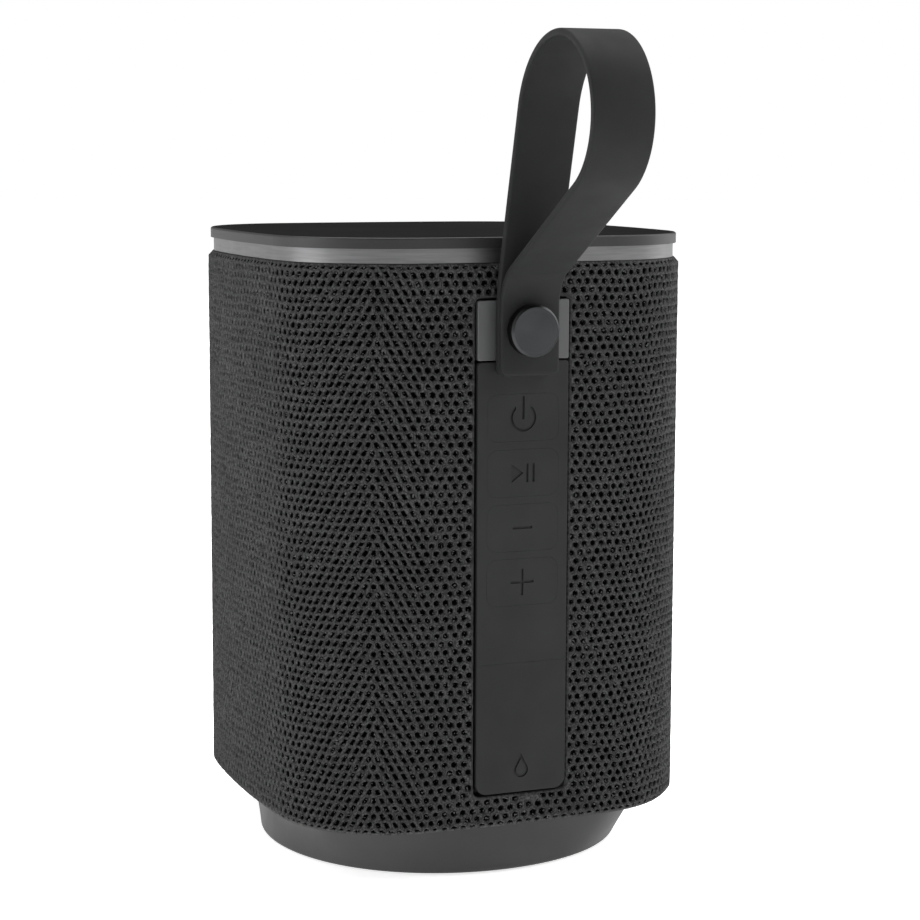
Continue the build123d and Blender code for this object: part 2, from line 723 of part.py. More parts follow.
for side, name in ((-1, "battery_cell_left"), (1, "battery_cell_right")):
    with BuildPart() as battery_cell:
        with BuildSketch(Plane.XY.offset(CELL_BOTTOM)):
            with Locations((side * CELL_SPACING / 2, CELL_MIDDLE_Y)):
                Circle(CELL_RADIUS)
        extrude(amount=CELL_LENGTH)
        with BuildSketch(Plane.XY.offset(CELL_BOTTOM + CELL_LENGTH)):
            with Locations((side * CELL_SPACING / 2, CELL_MIDDLE_Y)):
                Circle(TERMINAL_RADIUS)
        extrude(amount=TERMINAL_HEIGHT)
    save(battery_cell, name)

# --- Control tray, boards and sockets -------------------------------------------------------
tray_spots = four_spots(12.4, 47.0, 68.0)

with BuildPart() as control_tray:
    with BuildSketch(front_plane(TRAY_BACK)):
        add(bar(TRAY_WIDTH, TRAY_BOTTOM, TRAY_TOP, TRAY_CORNER))
    extrude(amount=TRAY_FRONT - TRAY_BACK)
    with BuildSketch(front_plane(TRAY_FRONT)):
        add(bar(PLATFORM_WIDTH, PLATFORM_BOTTOM, PLATFORM_TOP, PLATFORM_CORNER))
    extrude(amount=PLATFORM_FACE - TRAY_FRONT)
    with BuildSketch(front_plane(TRAY_BACK)):
        with Locations((0, USB_HEIGHT)):
            RectangleRounded(
                USB_WIDTH + 2 * CLEARANCE, USB_THICKNESS + 2 * CLEARANCE, USB_CORNER + CLEARANCE
            )
        with Locations((0, AUX_HEIGHT)):
            Circle(AUX_BODY_RADIUS + CLEARANCE)
        with Locations(*[(0, height) for height in KEY_HEIGHTS.values()]):
            Circle(POST_HOLE_RADIUS)
        with Locations((0, KNOB_HEIGHT)):
            Circle(STUD_HOLE_RADIUS)
        with Locations(*tray_spots):
            Circle(TRAY_SCREW_RADIUS + 0.05)
    extrude(amount=PLATFORM_FACE - TRAY_BACK, mode=Mode.SUBTRACT)
save(control_tray, "control_tray")

with BuildPart() as tray_screws:
    tray_back = Plane(origin=(0, -TRAY_BACK, 0), x_dir=(1, 0, 0), z_dir=(0, 1, 0))
    mirrored_spots = [(across, -height) for across, height in tray_spots]
    add(
        screw_group(
            tray_back,
            mirrored_spots,
            TRAY_HEAD_RADIUS,
            TRAY_HEAD_HEIGHT,
            TRAY_SCREW_RADIUS,
            TRAY_SCREW_LENGTH,
        )
    )
save(tray_screws, "tray_screws")

with BuildPart() as key_board:
    with BuildSketch(front_plane(KEY_BOARD_BACK)):
        add(bar(*KEY_BOARD))
    extrude(amount=KEY_BOARD_FRONT - KEY_BOARD_BACK)
save(key_board, "key_board")

with BuildPart() as key_switches:
    with BuildSketch(front_plane(KEY_BOARD_FRONT)):
        with Locations(*[(0, height) for height in KEY_HEIGHTS.values()]):
            RectangleRounded(SWITCH_SIDE, SWITCH_SIDE, SWITCH_CORNER)
    extrude(amount=SWITCH_HEIGHT)
    with BuildSketch(front_plane(KEY_BOARD_FRONT + SWITCH_HEIGHT)):
        with Locations(*[(0, height) for height in KEY_HEIGHTS.values()]):
            Circle(SWITCH_TIP_RADIUS)
    extrude(amount=SWITCH_TIP_HEIGHT)
save(key_switches, "key_switches")

with BuildPart() as main_board:
    with BuildSketch(front_plane(MAIN_BOARD_BACK)):
        add(bar(*MAIN_BOARD))
    extrude(amount=MAIN_BOARD_FRONT - MAIN_BOARD_BACK)
save(main_board, "main_board")

with BuildPart() as main_board_chips:
    with BuildSketch(front_plane(MAIN_BOARD_BACK)):
        with Locations((0, 98)):
            Rectangle(14, 18)
        with Locations((-12, 72), (12, 72)):
            Rectangle(9, 9)
        with Locations((-14, 60), (14, 60)):
            Circle(3.2)
    extrude(amount=-CHIP_HEIGHT)
save(main_board_chips, "main_board_chips")

with BuildPart() as port_board:
    with BuildSketch(front_plane(MAIN_BOARD_BACK)):
        add(bar(*PORT_BOARD))
    extrude(amount=MAIN_BOARD_FRONT - MAIN_BOARD_BACK)
save(port_board, "port_board")

with BuildPart() as usb_socket:
    with BuildSketch(front_plane(MAIN_BOARD_FRONT)):
        with Locations((0, USB_HEIGHT)):
            RectangleRounded(USB_WIDTH, USB_THICKNESS, USB_CORNER)
    extrude(amount=PORT_FACE - MAIN_BOARD_FRONT)
    with BuildSketch(front_plane(PORT_FACE)):
        with Locations((0, USB_HEIGHT)):
            RectangleRounded(
                USB_WIDTH - 2 * USB_WALL, USB_THICKNESS - 2 * USB_WALL, USB_CORNER - USB_WALL
            )
    extrude(amount=-USB_DEPTH, mode=Mode.SUBTRACT)
    with BuildSketch(front_plane(PORT_FACE - USB_DEPTH)):
        with Locations((0, USB_HEIGHT)):
            Rectangle(*USB_TONGUE)
    extrude(amount=USB_DEPTH - USB_TONGUE_RECESS)
save(usb_socket, "usb_socket")

with BuildPart() as aux_socket:
    with BuildSketch(front_plane(MAIN_BOARD_FRONT)):
        with Locations((0, AUX_HEIGHT)):
            Circle(AUX_BODY_RADIUS)
    extrude(amount=PORT_FACE - MAIN_BOARD_FRONT)
    with BuildSketch(front_plane(PORT_FACE)):
        with Locations((0, AUX_HEIGHT)):
            Circle(AUX_BORE_RADIUS)
    extrude(amount=-AUX_DEPTH, mode=Mode.SUBTRACT)
save(aux_socket, "aux_socket")

# --- Soft control strip, its keys and the port flap -----------------------------------------
with BuildPart() as control_strip:
    with BuildSketch(front_plane(PANEL_BACK)):
        with Locations((0, (FLAP_TOP + SEAM + STRIP_TOP) / 2)):
            Rectangle(STRIP_WIDTH, STRIP_TOP - FLAP_TOP - SEAM)
    extrude(amount=PANEL_FACE - PANEL_BACK)
    top_corners = control_strip.edges().filter_by(Axis.Y).group_by(Axis.Z)[-1]
    fillet(top_corners, radius=STRIP_TOP_CORNER)
    strip_front = control_strip.faces().sort_by(Axis.Y)[0]
    fillet(strip_front.edges().sort_by(Axis.Z)[1:], radius=PANEL_EDGE)
    for height in KEY_HEIGHTS.values():
        with BuildSketch(front_plane(PANEL_BACK)):
            with Locations((0, height)):
                RectangleRounded(KEY_WIDTH, KEY_HEIGHT, KEY_CORNER)
        extrude(amount=PANEL_FACE - PANEL_BACK, mode=Mode.SUBTRACT)
save(control_strip, "control_strip")


def power_sign():
    """Open circle with an upright stem through its gap."""
    with BuildSketch() as sign:
        Circle(2.8)
        Circle(2.8 - STROKE, mode=Mode.SUBTRACT)
        with Locations((0, 2.8)):
            Rectangle(3.2, 3.0, mode=Mode.SUBTRACT)
        with Locations((0, 2.0)):
            Rectangle(STROKE, 4.6)
    return sign.sketch


def play_sign():
    """Right-pointing triangle beside two upright bars."""
    with BuildSketch() as sign:
        with BuildLine():
            Polyline((-2.4, 1.85), (-2.4, -1.85), (0.1, 0), close=True)
        make_face()
        with Locations((0.95, 0), (2.3, 0)):
            Rectangle(STROKE, 3.7)
    return sign.sketch


def minus_sign():
    """Short level bar."""
    with BuildSketch() as sign:
        Rectangle(4.2, STROKE)
    return sign.sketch


def plus_sign():
    """Level bar crossed by an upright one."""
    with BuildSketch() as sign:
        Rectangle(5.0, STROKE)
        Rectangle(STROKE, 5.4)
    return sign.sketch


def drop_sign():
    """Outline of a water drop."""
    with BuildSketch() as sign:
        with BuildLine():
            bulb = CenterArc((0, -0.9), 1.6, 150, 240)
            Line(bulb @ 0, (0, 2.5))
            Line(bulb @ 1, (0, 2.5))
        make_face()
        offset(amount=-STROKE, mode=Mode.SUBTRACT)
    return sign.sketch


KEY_SIGNS = {
    "key_power": power_sign,
    "key_play": play_sign,
    "key_minus": minus_sign,
    "key_plus": plus_sign,
}

for name, height in KEY_HEIGHTS.items():
    key_face = Plane(origin=(0, -PANEL_FACE, height), x_dir=(1, 0, 0), z_dir=(0, -1, 0))
    with BuildPart() as key:
        with BuildSketch(key_face):
            RectangleRounded(
                KEY_WIDTH - 2 * SEAM, KEY_HEIGHT - 2 * SEAM, KEY_CORNER - SEAM
            )
        extrude(amount=-KEY_DEPTH)
        with BuildSketch(key_face.offset(-KEY_DEPTH)):
            Circle(POST_RADIUS)
        extrude(amount=POST_END - PANEL_FACE + KEY_DEPTH)
        with BuildSketch(key_face):
            add(KEY_SIGNS[name]())
        extrude(amount=-ENGRAVING, mode=Mode.SUBTRACT)
    save(key, name)

with BuildPart() as port_flap:
    with BuildSketch(front_plane(PANEL_BACK)):
        with Locations((0, (FLAP_BOTTOM + FLAP_TOP) / 2)):
            Rectangle(STRIP_WIDTH, FLAP_TOP - FLAP_BOTTOM)
    extrude(amount=PANEL_FACE - PANEL_BACK)
    fillet(port_flap.edges().filter_by(Axis.Y).group_by(Axis.Z)[0], radius=STRIP_CORNER)
    flap_front = port_flap.faces().sort_by(Axis.Y)[0]
    fillet(flap_front.edges().sort_by(Axis.Z)[:-1], radius=PANEL_EDGE)
    with BuildSketch(front_plane(PANEL_BACK)):
        with Locations((0, USB_HEIGHT)):
            RectangleRounded(*USB_PLUG)
        with Locations((0, AUX_HEIGHT)):
            Circle(AUX_PLUG_RADIUS)
    extrude(amount=-RIB_DEPTH)
    with BuildSketch(front_plane(PANEL_FACE)):
        with Locations((0, DROP_HEIGHT)):
            add(drop_sign())
    extrude(amount=-ENGRAVING, mode=Mode.SUBTRACT)
save(port_flap, "port_flap")

# --- Strap plate, strap, knob and stud ------------------------------------------------------
with BuildPart() as strap_plate:
    with BuildSketch(front_plane(PANEL_BACK)):
        add(bar(STRIP_WIDTH, PLATE_BOTTOM, PLATE_TOP, PLATE_CORNER))
        with Locations((0, KNOB_HEIGHT)):
            Circle(STUD_HOLE_RADIUS, mode=Mode.SUBTRACT)
    extrude(amount=PANEL_FACE - PANEL_BACK)
    fillet(strap_plate.faces().sort_by(Axis.Y)[0].outer_wire().edges(), radius=PANEL_EDGE)
save(strap_plate, "strap_plate")

STRAP_SIDE = Plane(origin=(0, -PANEL_FACE, 0), x_dir=(0, -1, 0), z_dir=(-1, 0, 0))

with BuildPart() as strap:
    with BuildSketch(STRAP_SIDE):
        with BuildLine():
            inner_end = Line((INNER_LAYER, STRAP_END), (INNER_LAYER, INNER_BEND_START))
            inner_bend = JernArc(inner_end @ 1, inner_end % 1, INNER_BEND, -INNER_LEAN)
            rise = Line(inner_bend @ 1, inner_bend @ 1 + (inner_bend % 1) * INNER_RISE)
            crown_in = JernArc(rise @ 1, rise % 1, CROWN_INNER, INNER_LEAN - 90)
            crown_out = JernArc(crown_in @ 1, crown_in % 1, CROWN_OUTER, -90)
            belly = JernArc(crown_out @ 1, crown_out % 1, BELLY, -BELLY_TURN)
            bend_reach = OUTER_BEND * (1 - cos(radians(BELLY_TURN)))
            fall_reach = (belly @ 1).X - OUTER_LAYER - bend_reach
            fall_length = fall_reach / sin(radians(BELLY_TURN))
            fall = Line(belly @ 1, belly @ 1 + (belly % 1) * fall_length)
            outer_bend = JernArc(fall @ 1, fall % 1, OUTER_BEND, BELLY_TURN)
            Line(outer_bend @ 1, (OUTER_LAYER, STRAP_END))
        trace(line_width=STRAP_THICKNESS)
    extrude(amount=STRAP_WIDTH / 2, both=True)
    end_corners = strap.edges().filter_by(Axis.Y).group_by(Axis.Z)[0]
    fillet(end_corners, radius=STRAP_END_CORNER)
    with BuildSketch(front_plane(PANEL_FACE)):
        with Locations((0, KNOB_HEIGHT)):
            Circle(STUD_HOLE_RADIUS)
    extrude(amount=OUTER_LAYER + STRAP_THICKNESS, mode=Mode.SUBTRACT)
save(strap, "strap")

with BuildPart() as knob:
    with BuildSketch(front_plane(KNOB_BACK)):
        with Locations((0, KNOB_HEIGHT)):
            Circle(KNOB_RADIUS)
    extrude(amount=KNOB_FACE - KNOB_BACK)
    chamfer(knob.faces().sort_by(Axis.Y)[0].edges(), length=KNOB_CHAMFER)
save(knob, "knob")

with BuildPart() as strap_stud:
    with BuildSketch(front_plane(STUD_END)):
        with Locations((0, KNOB_HEIGHT)):
            Circle(STUD_RADIUS)
    extrude(amount=KNOB_BACK - STUD_END)
save(strap_stud, "strap_stud")

with BuildPart() as stud_washer:
    with BuildSketch(front_plane(TRAY_BACK - CLEARANCE - WASHER_THICKNESS)):
        with Locations((0, KNOB_HEIGHT)):
            Circle(WASHER_RADIUS)
            Circle(STUD_HOLE_RADIUS, mode=Mode.SUBTRACT)
    extrude(amount=WASHER_THICKNESS)
save(stud_washer, "stud_washer")

with BuildPart() as stud_nut:
    with BuildSketch(front_plane(TRAY_BACK - 2 * CLEARANCE - WASHER_THICKNESS - NUT_THICKNESS)):
        with Locations((0, KNOB_HEIGHT)):
            RegularPolygon(NUT_RADIUS, 6)
            Circle(STUD_HOLE_RADIUS, mode=Mode.SUBTRACT)
    extrude(amount=NUT_THICKNESS)
save(stud_nut, "stud_nut")
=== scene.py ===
"""Looks of the shower speaker: woven sleeve, soft strap, finishes, soft studio light and camera."""

import json
import math

import bpy
import numpy as np
from mathutils import Matrix, Vector


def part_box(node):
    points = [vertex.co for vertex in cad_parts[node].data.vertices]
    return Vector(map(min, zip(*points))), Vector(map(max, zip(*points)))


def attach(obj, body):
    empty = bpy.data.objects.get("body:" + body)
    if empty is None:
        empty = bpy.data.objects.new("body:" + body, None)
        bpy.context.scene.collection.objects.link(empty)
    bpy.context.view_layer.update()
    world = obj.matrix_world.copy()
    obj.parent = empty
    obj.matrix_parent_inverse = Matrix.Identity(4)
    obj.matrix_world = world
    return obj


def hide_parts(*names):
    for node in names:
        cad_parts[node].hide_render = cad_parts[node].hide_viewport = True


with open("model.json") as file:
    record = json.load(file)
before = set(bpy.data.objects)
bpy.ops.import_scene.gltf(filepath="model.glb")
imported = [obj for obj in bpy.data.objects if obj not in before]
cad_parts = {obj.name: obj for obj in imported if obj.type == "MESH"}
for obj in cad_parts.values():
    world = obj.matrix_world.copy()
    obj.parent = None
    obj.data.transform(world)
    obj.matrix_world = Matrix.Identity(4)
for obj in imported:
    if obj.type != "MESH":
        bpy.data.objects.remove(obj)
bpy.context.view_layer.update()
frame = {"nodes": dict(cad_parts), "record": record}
nodes = frame["nodes"]
rng = np.random.default_rng(20)
MM = 0.001

# --- Body outline in millimetres, at the fabric's outer face --------------------------------
BODY_HALF = 45.7
SIDE_BOW = 258.0
CORNER_RADIUS = 25.6
BOW_SHIFT = SIDE_BOW - BODY_HALF
REACH = SIDE_BOW - CORNER_RADIUS
CORNER_CENTRE = (math.sqrt(2 * REACH**2 - BOW_SHIFT**2) - BOW_SHIFT) / 2
JOINT_ANGLE = math.asin(CORNER_CENTRE / REACH)
SIDE_HALF = SIDE_BOW * JOINT_ANGLE
QUARTER = 2 * SIDE_HALF + CORNER_RADIUS * (math.pi / 2 - 2 * JOINT_ANGLE)
ROUND = 4 * QUARTER

# --- Sleeve: where it starts and ends, its turned edges and its mesh ------------------------
SLEEVE_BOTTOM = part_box("fabric_sleeve")[0].z / MM
SLEEVE_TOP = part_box("fabric_sleeve")[1].z / MM
TURN = 1.0  # radius of the turned edge at the top and bottom
TURN_LENGTH = TURN * math.pi / 2
WALL = SLEEVE_TOP - SLEEVE_BOTTOM - 2 * TURN
CLIMB = WALL + 2 * TURN_LENGTH
COLUMNS = 166
ROWS = 69
PITCH = ROUND / COLUMNS
ROW_STEP = CLIMB / (ROWS + 1 / 3)
HEM = 6.7  # how far in from the outline the bottom hem reaches
HOLE_RADIUS = 0.66
HOLE_LEAN = 0.26
CHEVRON = -30.4  # where the lean of the holes turns over, beside the corner
LEAN_BEFORE = 22  # how far the lean reaches to each side of that line, in millimetres
LEAN_AFTER = 12
LEAN_RISE = 6  # lengths over which the lean comes in, goes out and turns over
LEAN_FALL = 5
LEAN_TURN = 1.5

OPENING_HALF = 10.2
OPENING_LOW = 18.7
OPENING_HIGH = 119.9
OPENING_CORNER = 1.2
LIP = 0.5  # how far outside the opening its turned lip starts
CELL_CLEARANCE = 0.95  # cells nearer the opening than this are left out

# --- Sleeve: unevenness of the knit, and the depths of its strands and holes ----------------
KNOT_SHIFT = 0.09
KNOT_DEPTH = 0.08
RIM_DEPTH = 0.02
HOLE_SHIFT = 0.07
HOLE_SIZES = (0.88, 1.08)
RING_DEPTHS = (0.42, 0.62)
PIT_DEPTH = 1.0
CORNER_PULL = 1.1  # how far cells shift towards the corners
SIDE_SWAY = 0.1
LONG_WAVE = 0.16
SHORT_WAVE = 0.08
ROW_CREEP = 0.06
CALM_EDGE = 5.0  # the waves fade out this near the sleeve's ends
EDGE_TONE = 0.1  # how far the turned edges are shaded towards the holes
LIP_STEPS = [(0.22, 0.12), (0.42, 0.36), (0.5, 0.8), (0.5, 1.9)]  # into the opening, and depth
HEM_STEPS = [  # inset, and height
    (TURN + 0.8, SLEEVE_BOTTOM + 0.02),
    (TURN + 3.0, SLEEVE_BOTTOM + 0.07),
    (HEM, SLEEVE_BOTTOM + 0.12),
]
TOP_STEPS = [(1.5, SLEEVE_TOP - 0.25), (2.0, SLEEVE_TOP - 0.7)]  # inset, and height


def climb_of(z):
    """Distance up the sleeve's profile of a height on its wall."""
    return z - SLEEVE_BOTTOM - TURN + TURN_LENGTH


def around(s):
    """Outline point and outward direction, at a distance round from the control side's middle."""
    turn = np.floor((s + QUARTER / 2) / QUARTER)
    local = s - turn * QUARTER
    past = np.maximum(np.abs(local) - SIDE_HALF, 0.0)
    on_side = past == 0
    angle = np.where(
        on_side,
        local / SIDE_BOW,
        np.sign(local) * (JOINT_ANGLE + past / CORNER_RADIUS),
    )
    radius = np.where(on_side, SIDE_BOW, CORNER_RADIUS)
    centre_x = np.where(on_side, 0.0, np.sign(local) * CORNER_CENTRE)
    centre_y = np.where(on_side, BOW_SHIFT, -CORNER_CENTRE)
    x = centre_x + radius * np.sin(angle)
    y = centre_y - radius * np.cos(angle)
    c, n = np.cos(turn * math.pi / 2), np.sin(turn * math.pi / 2)
    nx, ny = np.sin(angle), -np.cos(angle)
    return x * c - y * n, x * n + y * c, nx * c - ny * n, nx * n + ny * c


def sleeve_point(s, t, depth):
    """Point of the sleeve: s round, t up its profile, sunk by depth under its outer face."""
    x, y, nx, ny = around(s)
    low = np.clip(t / TURN, 0, math.pi / 2)
    high = np.clip((t - TURN_LENGTH - WALL) / TURN, 0, math.pi / 2)
    inset = TURN * (1 - np.sin(low)) + TURN * (1 - np.cos(high))
    z = (
        SLEEVE_BOTTOM
        + TURN * (1 - np.cos(low))
        + np.clip(t - TURN_LENGTH, 0, WALL)
        + TURN * np.sin(high)
    )
    outward = np.sin(low) * np.cos(high)
    upward = np.sin(high) - np.cos(low)
    inward = inset + depth * outward
    return np.stack([x - nx * inward, y - ny * inward, z - depth * upward], axis=-1)


def opening_distance(s, t):
    """Distance outside the opening's rounded rectangle, and the direction away from it."""
    s = (s + ROUND / 2) % ROUND - ROUND / 2
    low, high = climb_of(OPENING_LOW), climb_of(OPENING_HIGH)
    middle, half = (low + high) / 2, (high - low) / 2
    px, pt = s, t - middle
    qx = np.abs(px) - (OPENING_HALF - OPENING_CORNER)
    qt = np.abs(pt) - (half - OPENING_CORNER)
    out_x, out_t = np.maximum(qx, 0), np.maximum(qt, 0)
    length = np.hypot(out_x, out_t)
    distance = length + np.minimum(np.maximum(qx, qt), 0) - OPENING_CORNER
    inside = length == 0
    gx = np.where(inside, np.where(qx > qt, 1.0, 0.0), out_x / np.maximum(length, 1e-9))
    gt = np.where(inside, np.where(qx > qt, 0.0, 1.0), out_t / np.maximum(length, 1e-9))
    return distance, gx * np.sign(px), gt * np.sign(pt)


def tension(s, t):
    """The even mesh as it sits when pulled over the body: closer at the corners, rows wavy."""
    lap = 2 * math.pi * s / ROUND
    quiet = np.clip(np.minimum(t, CLIMB - t) / CALM_EDGE, 0, 1)
    across = CORNER_PULL * np.sin(4 * lap) + SIDE_SWAY * np.sin(7 * lap + t / 9.0) * quiet
    along = LONG_WAVE * np.sin(9 * lap + 1.1) + SHORT_WAVE * np.sin(21 * lap + t / 8.0)
    along = along + ROW_CREEP * np.sin(t / 5.0 + 5 * lap)
    return s + across, t + along * quiet


def lean(s):
    """How far the holes lean: one way before the line beside each corner, the other way after."""
    past = (s - CHEVRON + QUARTER / 2) % QUARTER - QUARTER / 2
    rise = np.clip((past + LEAN_BEFORE) / LEAN_RISE, 0, 1)
    fall = np.clip((LEAN_AFTER - past) / LEAN_FALL, 0, 1)
    return -HOLE_LEAN * np.tanh(past / LEAN_TURN) * (rise * fall)


def woven_sleeve():
    """The sleeve as an open mesh of knitted cells, each a raised ring of strands round a hole."""
    rows = np.arange(-1, ROWS + 1)
    row, column = np.meshgrid(rows, np.arange(COLUMNS), indexing="ij")
    s = (column + 0.5 * (row & 1)) * PITCH
    t = (row + 2 / 3) * ROW_STEP
    count = row.size
    peak = np.arange(count).reshape(row.shape)
    foot = peak + count

    # Knots: the shared corners of the cells, above and below each cell's middle.
    knot_s = np.concatenate([s.ravel(), s.ravel()])
    knot_t = np.concatenate([(t + ROW_STEP * 2 / 3).ravel(), (t - ROW_STEP * 2 / 3).ravel()])
    knot_s, knot_t = tension(knot_s, knot_t)
    knot_s = knot_s + rng.uniform(-KNOT_SHIFT, KNOT_SHIFT, knot_s.size)
    knot_t = knot_t + rng.uniform(-KNOT_SHIFT, KNOT_SHIFT, knot_t.size)
    knot_t = np.clip(knot_t, 0, CLIMB)
    lowest = np.zeros(2 * count, bool)
    highest = np.zeros(2 * count, bool)
    lowest[peak[0]] = lowest[foot[1]] = True
    highest[peak[ROWS]] = highest[foot[ROWS + 1]] = True
    knot_t[lowest] = 0.0
    knot_t[highest] = CLIMB

    # Cells, without those over the opening.
    cell_row = np.repeat(np.arange(1, ROWS + 1), COLUMNS)
    cell_column = np.tile(np.arange(COLUMNS), ROWS)
    cell_s, cell_t = s[cell_row, cell_column], t[cell_row, cell_column]
    middle_s, middle_t = tension(cell_s, cell_t)
    kept = opening_distance(middle_s, middle_t)[0] > CELL_CLEARANCE
    cell_row, cell_column = cell_row[kept], cell_column[kept]
    cell_s, cell_t = cell_s[kept], cell_t[kept]
    odd = rows[cell_row] & 1
    right, left = (cell_column + odd) % COLUMNS, (cell_column + odd - 1) % COLUMNS
    corners = np.stack(
        [
            foot[cell_row + 1, right],
            peak[cell_row, cell_column],
            foot[cell_row + 1, left],
            peak[cell_row - 1, left],
            foot[cell_row, cell_column],
            peak[cell_row - 1, right],
        ],
        axis=1,
    )

    # Free edge round the opening, brought to the lip's outline.
    start = corners.ravel()
    end = np.roll(corners, -1, axis=1).ravel()
    free = ~np.isin(start * 2 * count + end, end * 2 * count + start)
    free_edges = np.stack([start[free], end[free]], axis=1)
    rim = ~(lowest | highest)[free_edges].any(axis=1)
    on_rim = np.unique(free_edges[rim])
    distance, away_s, away_t = opening_distance(knot_s[on_rim], knot_t[on_rim])
    knot_s[on_rim] -= (distance - LIP) * away_s
    knot_t[on_rim] -= (distance - LIP) * away_t

    # Each hole: six points sunk a little, and a deep middle.
    cells = len(cell_row)
    size = rng.uniform(*HOLE_SIZES, (cells, 1))
    angles = math.radians(30) + np.arange(6) * math.pi / 3
    oval = 1 + lean(cell_s)[:, None] * np.cos(2 * (angles - math.radians(60)))
    oval = oval - lean(cell_s)[:, None] * np.cos(2 * (angles - math.radians(120)))
    ring_s = cell_s[:, None] + HOLE_RADIUS * size * oval * np.cos(angles)
    ring_t = cell_t[:, None] + HOLE_RADIUS * size * oval * np.sin(angles)
    ring_s, ring_t = tension(ring_s, ring_t)
    middle_s, middle_t = tension(cell_s, cell_t)
    shift = rng.uniform(-HOLE_SHIFT, HOLE_SHIFT, (2, cells))
    ring_s, ring_t = ring_s + shift[0][:, None], ring_t + shift[1][:, None]
    ring_t = np.clip(ring_t, 0, CLIMB)

    knot_depth = rng.uniform(0.0, KNOT_DEPTH, knot_s.size)
    knot_depth[on_rim] = RIM_DEPTH
    ring_depth = rng.uniform(*RING_DEPTHS, ring_s.shape)
    points = [
        sleeve_point(knot_s, knot_t, knot_depth),
        sleeve_point(ring_s.ravel(), ring_t.ravel(), ring_depth.ravel()),
        sleeve_point(middle_s + shift[0], middle_t + shift[1], np.full(cells, PIT_DEPTH)),
    ]
    hole = [np.zeros(2 * count), np.full(6 * cells, 0.5), np.ones(cells)]
    ring = 2 * count + np.arange(6 * cells).reshape(cells, 6)
    pit = 2 * count + 6 * cells + np.arange(cells)
    ring_next, corner_next = np.roll(ring, -1, axis=1), np.roll(corners, -1, axis=1)
    faces = np.stack([corners, corner_next, ring_next, ring], axis=-1).reshape(-1, 4).tolist()
    floor = np.stack([ring, ring_next, np.repeat(pit[:, None], 6, axis=1)], axis=-1)
    faces += floor.reshape(-1, 3).tolist()

    # Turned edges: the lip round the opening, the hem under the foot's rim, the top under the ring.
    total = 2 * count + 7 * cells

    def turned(edges, place, steps):
        nonlocal total
        used, where = np.unique(edges, return_inverse=True)
        where = where.reshape(edges.shape)
        before = used
        for step in steps:
            points.append(place(used, *step))
            hole.append(np.full(len(used), EDGE_TONE))
            after = total + np.arange(len(used))
            total += len(used)
            a, b = where[:, 0], where[:, 1]
            faces.extend(np.stack([before[b], before[a], after[a], after[b]], 1).tolist())
            before = after

    def lip_place(used, into, depth):
        _, away_s, away_t = opening_distance(knot_s[used], knot_t[used])
        return sleeve_point(
            knot_s[used] - into * away_s,
            knot_t[used] - into * away_t,
            np.full(len(used), depth),
        )

    def inset_place(used, inset, z):
        x, y, nx, ny = around(knot_s[used])
        return np.stack([x - nx * inset, y - ny * inset, np.full(len(used), z)], axis=-1)

    turned(free_edges[rim], lip_place, LIP_STEPS)
    at_bottom = lowest[free_edges].all(axis=1)
    at_top = highest[free_edges].all(axis=1)
    turned(free_edges[at_bottom], inset_place, HEM_STEPS)
    turned(free_edges[at_top], inset_place, TOP_STEPS)

    points = np.concatenate(points) * MM
    hole = np.concatenate(hole)
    flat_faces = [i for face in faces for i in face]
    used, index = np.unique(np.array(flat_faces), return_inverse=True)
    points, hole = points[used], hole[used]
    index = index.tolist()
    compact, at = [], 0
    for face in faces:
        compact.append(index[at : at + len(face)])
        at += len(face)
    mesh = bpy.data.meshes.new("woven_sleeve")
    mesh.from_pydata(points.tolist(), [], compact)
    mesh.attributes.new("hole", "FLOAT", "POINT").data.foreach_set("value", hole)
    mesh.shade_smooth()
    return piece("woven_sleeve", mesh)


def piece(name, mesh):
    """A new object in the scene."""
    made = bpy.data.objects.new(name, mesh)
    bpy.context.scene.collection.objects.link(made)
    return made


# --- Strap: its middle line, as distances out from the panel's face and heights -------------
PANEL_FACE = 45.9
STRAP_WIDTH = 12.6
STRAP_THICKNESS = 1.5
STRAP_EDGE = 0.5
END_CORNER = 1.6
INNER_LAYER = 1.05
OUTER_LAYER = 2.65
STRAP_END = 104.6
INNER_BEND_START = 118.0
INNER_BEND = 26.0
INNER_LEAN = 15.4
INNER_RISE = 33.7
CROWN_INNER = 18.0
CROWN_OUTER = 15.1
BELLY = 15.0
BELLY_TURN = 60.0
OUTER_BEND = 9.0
KNOB_HEIGHT = 113.7
STUD_HOLE = 2.08
STUD_HOLE_SIDES = 48
END_STEPS = (0.06, 0.12, 0.2, 0.3, 0.4, 0.5)  # short runs that round off each end


class Route:
    """A line drawn with straight runs and tangent arcs: places and headings along it."""

    def __init__(self, out, height):
        self.at = Vector((out, height))
        self.heading = math.pi / 2
        self.places = [(self.at.copy(), self.heading)]

    def run(self, length, step=1.2):
        count = max(1, math.ceil(length / step))
        direction = Vector((math.cos(self.heading), math.sin(self.heading)))
        for _ in range(count):
            self.at = self.at + direction * (length / count)
            self.places.append((self.at.copy(), self.heading))

    def arc(self, radius, degrees, step=1.0):
        turn = math.radians(degrees)
        count = math.ceil(radius * abs(turn) / step)
        side = math.copysign(1, turn)
        centre = self.at + side * radius * Vector(
            (-math.sin(self.heading), math.cos(self.heading))
        )
        for _ in range(count):
            self.heading += turn / count
            self.at = centre + side * radius * Vector(
                (math.sin(self.heading), -math.cos(self.heading))
            )
            self.places.append((self.at.copy(), self.heading))


